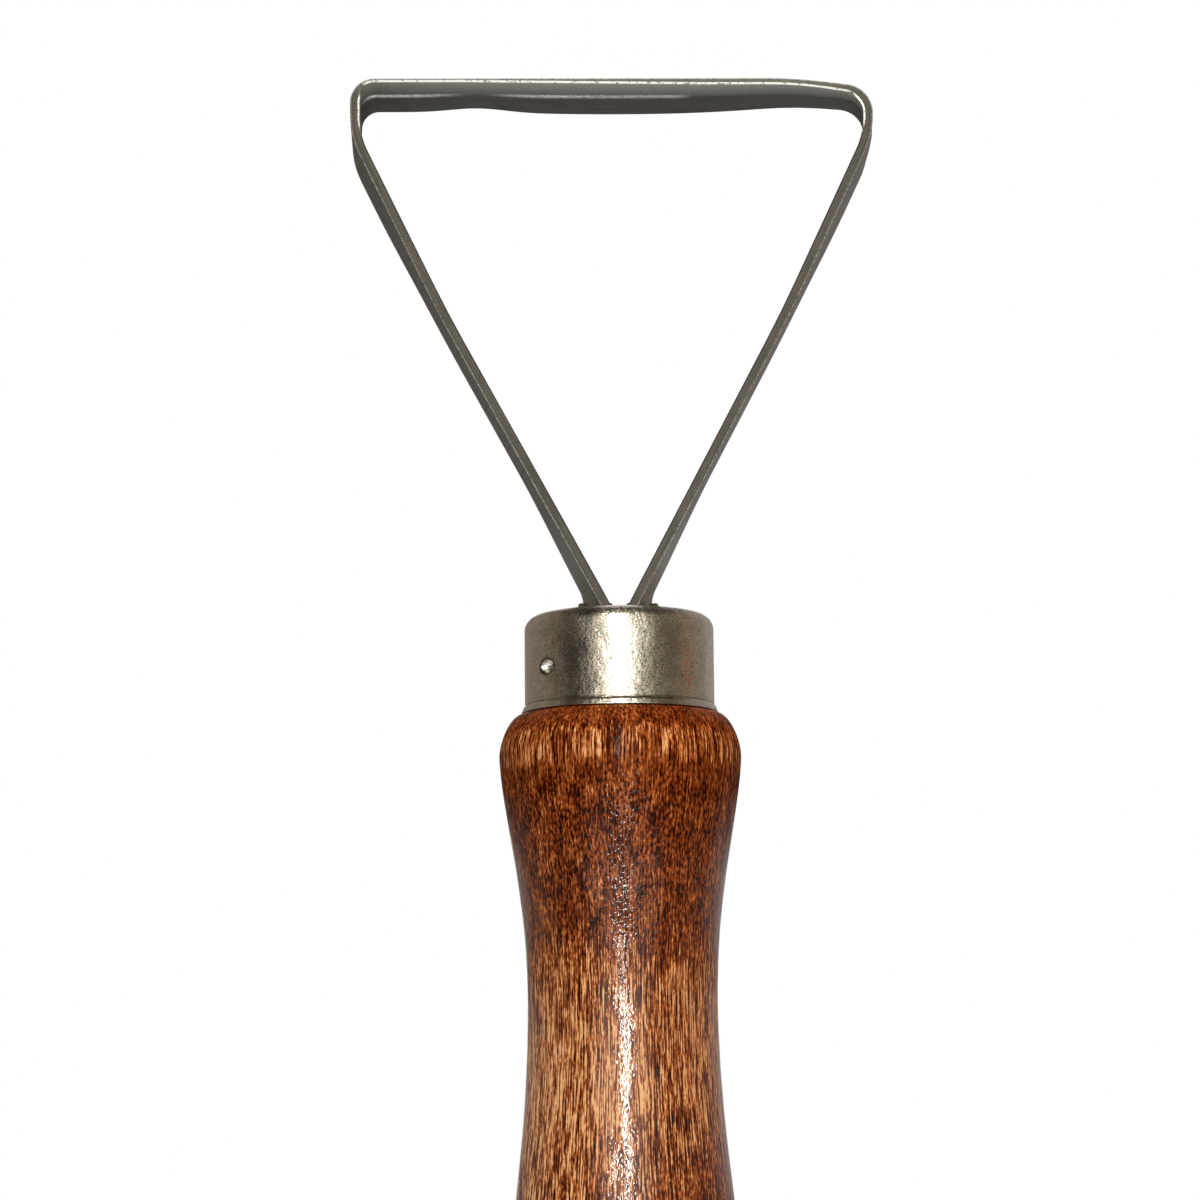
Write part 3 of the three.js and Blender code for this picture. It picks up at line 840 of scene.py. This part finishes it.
bladeSettings = {
    "thickness": 1.0,
    "brokenEdge": 0.12,
    "loopWidth": 55.8,  # over the front edge
    "loopRise": 57.13,
    "loopLean": 0.3,
    "barSlope": 0.21,
    "droopReach": 8.2,
    "droopRadius": 50.0,
    "rightDrop": 1.28,
    "leftCornerRadius": 2.6,
    "rightCornerRadius": 3.1,
    "cheekDrop": 6.4,
    "cheekRadius": 10.0,
    "legBow": 0.66,
    "legBowAt": 0.62,
    "legBowRadius": 150.0,
    "tangSpread": 3.5,
    "tangSink": 0.35,
    "tangBendRadius": 3.0,
    "bevelWidth": 3.35,
    "bevelDrop": 0.62,
    "edgeBevelWidth": 0.15,
    "edgeLand": 0.06,
    "landFrom": -16.2,  # from here towards +X the land grows by landGrowth
    "landGrowth": 0.0105,
    "landMost": 0.27,
    "landTone": 0.15,  # share of the bevel's tone that the front edge has
    # on the cheeks the bright chamfer is nearly flat to the front and takes the rest of the edge
    "cheekBevelWidth": 0.05,
    "cheekBevelDrop": 0.01,
    "cheekLand": 0.68,
    "cheekStart": 0.2,
    "cheekFull": 1.9,
    # worn line where the bevel meets the flat of the bar, with a painted highlight on it; the rounded edges
    # get the same
    "arrisWidth": 0.66,
    "arrisSides": 0.7,  # how bright it is at both sides
    "arrisEnd": (6.5, 9.5),  # across, where it dies out
    "arrisThin": (-12.0, 0.0),  # across, where it gets duller by arrisThinning
    "arrisThinning": 0.3,
    "grindingEnd": 3.7,  # below the right corner
    "grindingFade": 1.6,
    "grindingLeast": 0.02,  # share of it from which its tones show
    "glintRise": 5.0,  # the edge is bright after the first fifth of the grinding
    # how far the back edge stands outside the front edge, as the bending left it
    "cheekSplay": 0.43,
    "splayStart": 28.0,
    "splayFull": 12.0,
    "leftTwist": -0.15,
    "rightTwist": 0.8,
    "twistDepth": 7.0,
    "hollowRise": 0.5,
    "hollowAt": -14.8,
    "hollowReach": 4.2,
    "footSplay": 0.5,
    "footSplayRise": 16.0,
    "tangSplay": 1.5,
    "tangSplayRise": 3.2,
    "tangSplaySink": 1.0,
    "runStep": 0.6,
    "bendStep": 3.0,  # degrees
    # rows across each flat of the strip, and how far in from its edges the first and last of them are
    "flats": {"side": (3, 0.04), "back": (14, 0.04), "front": (3, 0.04), "land": (2, 0.01),
              "bevel": (6, 0.03), "inside": (12, 0.1)},
    "insetMost": 0.2,  # share of a flat
    "roundParts": 4,
    "sharpDeg": 38,
    # grain: size of a cell, then detail and roughness. The first two run along the strip
    "streak": ((9.0, 0.12, 0.12), 2.0, 0.6),
    "cross": ((0.14, 2.0, 2.0), 2.0, 0.6),
    "speck": ((0.15, 0.15, 0.15), 2.0, 0.6),
    "chip": ((0.45, 0.2, 0.3), 2.0, 0.65),
    "cloud": ((2.5, 2.5, 5.0), 2.0, 0.5),
    "millTones": [(0.3, (92, 88, 80)), (0.7, (104, 99, 91))],
    "groundTones": [(0.3, (154, 152, 144)), (0.7, (184, 182, 174))],
    "outside": (-0.04, -0.01),  # where the outer face begins: it is at 0 and the inner one at -1
    # the outside is paler towards +X and at the foot: from, to, and the share at each
    "paleAside": (-4.0, 4.0, 0.2, 0.55),
    "paleFoot": (0.0, 12.0, 0.7, 0.0),
    "paleTone": (196, 192, 188),
    "streakShare": (0.35, 0.65, 0.0, 0.45),
    "streakTone": (62, 60, 57),
    "speckShare": (0.4, 0.7, 0.0, 0.35),
    "speckTone": (52, 50, 48),
    "insideShare": (-0.98, -0.9, 0.25, 0.0),
    "bevelShade": (-4.8, -2.0, 0.0, 0.55),  # from the front edge to the foot of the bevel
    "shadeTone": (20, 20, 19),
    "wornHighlightShare": (0.45, 0.6, 1.0, 0.3),
    "wornHighlightTone": (222, 218, 210),
    "glintShare": (0.56, 0.64, 1.0, 0.3),
    "glintTone": (252, 249, 240),
    "wornPolish": 0.7,
    "roughness": (0.72, 0.25),  # of the mill surface and of the bright edge
    "crossRelief": 0.5,
    "relief": 0.012,
}


def loopCorners():  # across, height and bend radius, from the left tang over the loop to the right one
    s = bladeSettings
    side = s["loopWidth"] / 2
    top = crownZ + s["loopRise"]
    bendZ = crownZ - s["tangSink"]
    tang = np.array([s["tangSpread"] / 2, bendZ])
    cheek = np.array([side, top - s["cheekDrop"]])
    outward = np.array([cheek[1] - tang[1], tang[0] - cheek[0]])
    outward /= np.linalg.norm(outward)
    knee = tang + (cheek - tang) * s["legBowAt"] + outward * s["legBow"]
    leg = [(tang[0], bladeLow[2], 0), (tang[0], bendZ, s["tangBendRadius"]), (*knee, s["legBowRadius"]),
           (*cheek, s["cheekRadius"])]
    bar = [(-side, top, s["leftCornerRadius"]),
           (side - s["droopReach"], top - s["barSlope"], s["droopRadius"]),
           (side, top - s["rightDrop"], s["rightCornerRadius"])]
    upright = [(-x, z, r) for x, z, r in leg] + bar + leg[::-1]
    return [(x - s["loopLean"] * max(z - crownZ, 0) / s["loopRise"], z, r) for x, z, r in upright]


def backShift(x, z):
    s = bladeSettings
    drop, rise = crownZ + s["loopRise"] - z, z - crownZ
    toEnd = smooth(0, s["loopWidth"] / 2, abs(x))
    onBar = 1 - smooth(s["thickness"], s["twistDepth"], drop)
    twist = s["leftTwist" if x < 0 else "rightTwist"] * onBar * toEnd
    corner = (s["cheekSplay"] + twist) * toEnd * (1 - smooth(s["splayFull"], s["splayStart"], drop))
    hollow = s["hollowRise"] * bell(x, s["hollowAt"], s["hollowReach"]) * onBar
    foot = s["footSplay"] * (1 - smooth(0, s["footSplayRise"], rise))
    tang = s["tangSplay"] * (1 - smooth(-s["tangSplaySink"], s["tangSplayRise"], rise))
    return corner + hollow + foot + tang


def loopStations():  # place and heading along the outer face, and the length up to each
    s = bladeSettings
    corners = loopCorners()

    def heading(i):
        return math.atan2(corners[i + 1][1] - corners[i][1], corners[i + 1][0] - corners[i][0])

    stations = [(corners[0][0], corners[0][1], heading(0))]

    def addRun(x, z, way):
        x0, z0, _ = stations[-1]
        parts = max(1, math.ceil(math.hypot(x - x0, z - z0) / s["runStep"]))
        for t in stepsTo(0, 1, parts):
            stations.append((x0 + (x - x0) * t, z0 + (z - z0) * t, way))

    for i in range(1, len(corners) - 1):
        x, z, radius = corners[i]
        way = heading(i - 1)
        turn = heading(i) - way
        reach = radius * math.tan(abs(turn) / 2)
        addRun(x - reach * math.cos(way), z - reach * math.sin(way), way)
        x0, z0, _ = stations[-1]
        arm = math.copysign(radius, turn)
        centreX, centreZ = x0 - arm * math.sin(way), z0 + arm * math.cos(way)
        parts = max(2, math.ceil(math.degrees(abs(turn)) / s["bendStep"]))
        for now in stepsTo(way, way + turn, parts):
            stations.append((centreX + arm * math.sin(now), centreZ - arm * math.cos(now), now))
    addRun(corners[-1][0], corners[-1][1], stations[-1][2])
    stations = np.array(stations)
    steps = np.hypot(np.diff(stations[:, 0]), np.diff(stations[:, 1]))
    return stations, np.concatenate([[0], np.cumsum(steps)])


def stripSection(grinding, cheek, arris, growth):  # rows of across, outward, edge glint, bevel, worn arris with its painted highlight
    s = bladeSettings
    half, thick, broken = stripHalf, s["thickness"], s["brokenEdge"]
    started = grinding > s["grindingLeast"]
    glint, bevel = (min(1, s["glintRise"] * grinding), grinding) if started else (0, 0)

    def ground(plain, worked):
        return plain + (worked - plain) * grinding

    def onCheek(elsewhere, there):
        return elsewhere + (there - elsewhere) * cheek

    bevelWidth = onCheek(s["edgeBevelWidth"], s["cheekBevelWidth"])
    bevelDrop = onCheek(s["bevelDrop"] - growth, s["cheekBevelDrop"])
    landEnd = -ground(thick - broken, broken + onCheek(s["edgeLand"] + growth, s["cheekLand"]))
    edge = np.array([ground(broken / 2, bevelWidth) - half, ground(broken / 2, bevelDrop) - thick])
    inner = np.array([ground(broken, s["bevelWidth"]) - half, -thick])
    line = s["arrisWidth"] / 2
    before = inner + (edge - inner) * (line / s["bevelWidth"])
    rows = []

    def addFlat(kind, start, end, tones=(0, 0, 0)):
        start, end = np.array(start, float), np.array(end, float)
        parts, inset = s["flats"][kind]
        near = min(inset / max(np.linalg.norm(end - start), 1e-6), s["insetMost"])
        for t in [0, near, *np.linspace(near, 1 - near, parts + 1)[1:-1], 1 - near, 1]:
            rows.append((*(start + (end - start) * t), *tones))

    def addRound(centre, fromDeg, toDeg):
        arc = arcSteps(centre, broken, fromDeg, toDeg, s["roundParts"])
        rows.extend((*point, 0, 0, 1) for point in arc[:-1])

    addRound((half - broken, broken - thick), -90, 0)
    addFlat("side", (half, broken - thick), (half, -broken))
    addRound((half - broken, -broken), 0, 90)
    addFlat("back", (half - broken, 0), (broken - half, 0))
    addRound((broken - half, -broken), 90, 180)
    addFlat("front", (-half, -broken), (-half, landEnd), (0, s["landTone"] * bevel * (1 - cheek), 0))
    addFlat("land", (-half, landEnd), edge, (glint, 0, 0))
    addFlat("bevel", edge, before, (0, bevel, 0))
    rows.append((*before, 0, bevel, s["arrisSides"] * arris))
    rows.append((*inner, 0, bevel / 2, arris))
    rows.append((inner[0] + line, -thick, 0, 0, s["arrisSides"] * arris))
    addFlat("inside", (inner[0] + 3 * line, -thick), (half - broken, -thick))
    return np.array(rows)


def makeBlade():
    s = bladeSettings
    topZ = crownZ + s["loopRise"]
    fullZ = topZ - s["rightDrop"] - s["grindingEnd"]
    stations, lengths = loopStations()
    points, places, tones = [], [], []
    for (x, z, way), length in zip(stations, lengths):
        grinding = smooth(fullZ - s["grindingFade"], fullZ, z)
        cheek = smooth(s["cheekStart"], s["cheekFull"], topZ - z)
        # the painted highlight on the worn line fades over the hollow, where the strip turns from the light,
        # and towards the right end
        bare = bell(x, s["hollowAt"], s["hollowReach"]) + smooth(*s["arrisEnd"], x)
        bare += s["arrisThinning"] * smooth(*s["arrisThin"], x)
        arris = grinding * (1 - cheek) * max(0, 1 - bare)
        growth = min(s["landGrowth"] * max(x - s["landFrom"], 0), s["landMost"])
        section = stripSection(grinding, cheek, arris, growth)
        across = section[:, 0]
        outward = section[:, 1] + backShift(x, z) * (across + stripHalf) / (2 * stripHalf)
        points.append(np.stack([x - outward * math.sin(way), across, z + outward * math.cos(way)], 1))
        places.append(np.stack([length + 0 * across, across, section[:, 1]], 1))
        tones.append(section[:, 2:])
    rows, count = len(points), len(points[0])
    ends = [list(range(count))[::-1], list(range((rows - 1) * count, rows * count))]
    faces = ringFaces(rows, count) + ends
    points = np.clip(np.concatenate(points), bladeLow, bladeHigh)
    piece = makePiece("steelLoop", points, faces, steelMaterial(), s["sharpDeg"])
    pointValues(piece, "stripPlace", np.concatenate(places))
    for name, values in zip(("edgeGlint", "groundBevel", "wornArrisHighlight"), np.concatenate(tones).T):
        pointValues(piece, name, values)
    seatPiece(piece, "loop_blade")


def steelMaterial():
    s = bladeSettings
    material, tree, shader = startMaterial("stripSteel", {"Metallic": 1.0})
    glint, bevel, wornHighlight = [meshValue(tree, name) for name in ("edgeGlint", "groundBevel", "wornArrisHighlight")]
    along = meshValue(tree, "stripPlace", "Vector")
    streak, cross = [grainAt(tree, along, *s[name]) for name in ("streak", "cross")]
    place = objectPlace(tree)
    speck, chip, cloud = [grainAt(tree, place, *s[name]) for name in ("speck", "chip", "cloud")]
    _, across, outward = split(tree, along)
    aside, _, height = split(tree, place)
    foot = remap(tree, calc(tree, "SUBTRACT", height, crownZ), *s["paleFoot"])
    pale = calc(tree, "ADD", remap(tree, aside, *s["paleAside"]), foot, clamp=True)
    mill = layTones(tree, toneRamp(tree, cloud, s["millTones"]), [
        (times(tree, remap(tree, outward, *s["outside"]), pale), s["paleTone"]),
        (remap(tree, streak, *s["streakShare"]), s["streakTone"]),
        (remap(tree, speck, *s["speckShare"]), s["speckTone"]),
        (remap(tree, outward, *s["insideShare"]), s["shadeTone"]),
    ])
    shade = remap(tree, across, *s["bevelShade"], "LINEAR")
    ground = layTones(tree, toneRamp(tree, speck, s["groundTones"]), [(shade, s["shadeTone"])])
    tone = layTones(tree, mixTones(tree, bevel, mill, ground), [
        # worn edges with a painted highlight, then the edge glint
        (times(tree, wornHighlight, remap(tree, chip, *s["wornHighlightShare"])), s["wornHighlightTone"]),
        (times(tree, glint, remap(tree, chip, *s["glintShare"])), s["glintTone"]),
    ])
    polish = calc(tree, "MAXIMUM", glint, times(tree, wornHighlight, s["wornPolish"]))
    relief = weigh(tree, [(cross, s["crossRelief"])], speck)
    feed(tree, shader, {
        "Base Color": tone,
        "Roughness": remap(tree, polish, 0.0, 1.0, *s["roughness"], "LINEAR"),
        "Normal": bumpOf(tree, relief, s["relief"]),
    })
    return material


# Epoxy: fills the socket and stands as a dark bead at the outer foot of each leg

epoxySettings = {
    "topHalf": (4.65, 5.3),  # of its surface, inside the window of the ferrule
    "topSquareness": 10.0,
    "poolDrop": 0.45,  # surface between the legs, below the crown
    "poolEdge": 0.9,  # share of the way out from which it is level
    "creepRise": 0.8,  # how far it creeps up the steel
    "creepReach": 0.3,
    "mounds": [(-3.8, -2.6, 0.85, 1.9, 0.52), (3.6, -2.4, 0.75, 1.8, 0.5)],  # x, y, half sizes, rise
    "moundSquareness": 4.0,
    "moundEdge": (0.55, 1.15),
    "neckDrop": 1.5,  # below the crown, where it widens to the socket
    "socketRadius": 6.75,
    "floorRings": (0.4, 0.8, 1.0),  # shares of its radius at the floor of the socket
    "wallRings": 23,
    "topRings": 46,
    "sides": 144,
    "sharpDeg": 50,
    "cloud": ((0.8, 0.8, 0.8), 3.0, 0.6),
    "tones": [(0.3, (46, 41, 35)), (0.7, (72, 66, 58))],
    "relief": 0.05,
    "sockets": {"Roughness": 0.4, "Specular IOR Level": 0.5},
}


def epoxyHeight(x, y):  # above the crown of the ferrule
    s, blade = epoxySettings, bladeSettings
    outer = blade["tangSpread"] / 2 + (blade["footSplay"] + blade["tangSplay"]) * (y / (2 * stripHalf) + 0.5)
    halfThick = blade["thickness"] / 2
    aside = np.maximum(np.abs(np.abs(x) - outer + halfThick) - halfThick, 0)
    away = np.hypot(aside, np.maximum(np.abs(y) - stripHalf, 0))
    pool = s["poolDrop"]
    height = s["creepRise"] * np.exp(-away / s["creepReach"]) - pool
    power = s["moundSquareness"]
    for moundX, moundY, halfX, halfY, rise in s["mounds"]:
        out = (np.abs((x - moundX) / halfX) ** power + np.abs((y - moundY) / halfY) ** power) ** (1 / power)
        height = np.maximum(height, (rise + pool) * (1 - smooth(*s["moundEdge"], out)) - pool)
    return height


def epoxyMaterial():
    s = epoxySettings
    material, tree, shader = startMaterial("darkEpoxy", s["sockets"])
    cloud = grainAt(tree, objectPlace(tree), *s["cloud"])
    tone = toneRamp(tree, cloud, s["tones"])
    feed(tree, shader, {"Base Color": tone, "Normal": bumpOf(tree, cloud, s["relief"])})
    return material


def makeEpoxy():
    s = epoxySettings
    angles = evenTurns(s["sides"])
    edge = squareRadius(angles, s["topHalf"], s["topSquareness"])
    floorZ, neckZ, poolZ = epoxyLow[2], crownZ - s["neckDrop"], crownZ - s["poolDrop"]
    rings = [ringAt(angles, s["socketRadius"] * r, floorZ) for r in s["floorRings"]]
    rings += [ringAt(angles, s["socketRadius"], z) for z in stepsTo(floorZ, neckZ, s["wallRings"])]
    rings.append(ringAt(angles, edge, neckZ))
    for r in np.linspace(1, 0, s["topRings"] + 1)[:-1]:
        ring = ringAt(angles, edge * r, poolZ)
        rise = epoxyHeight(ring[:, 0], ring[:, 1]) + s["poolDrop"]
        ring[:, 2] += rise * (1 - smooth(s["poolEdge"], 1.0, r))
        rings.append(ring)
    points, faces = closeEnds(np.concatenate(rings), s["sides"], (0, 0, floorZ), (0, 0, poolZ))
    piece = makePiece("socketEpoxy", points, faces, epoxyMaterial(), s["sharpDeg"])
    seatPiece(piece, "socket_epoxy")


makeCamera()
makeWorld()
makeFloor()
makeCloths()
makeWindow()
makeHandle()
makeFerrule()
makeBlade()
makeEpoxy()

scene = bpy.context.scene
scene.view_settings.view_transform = "Standard"
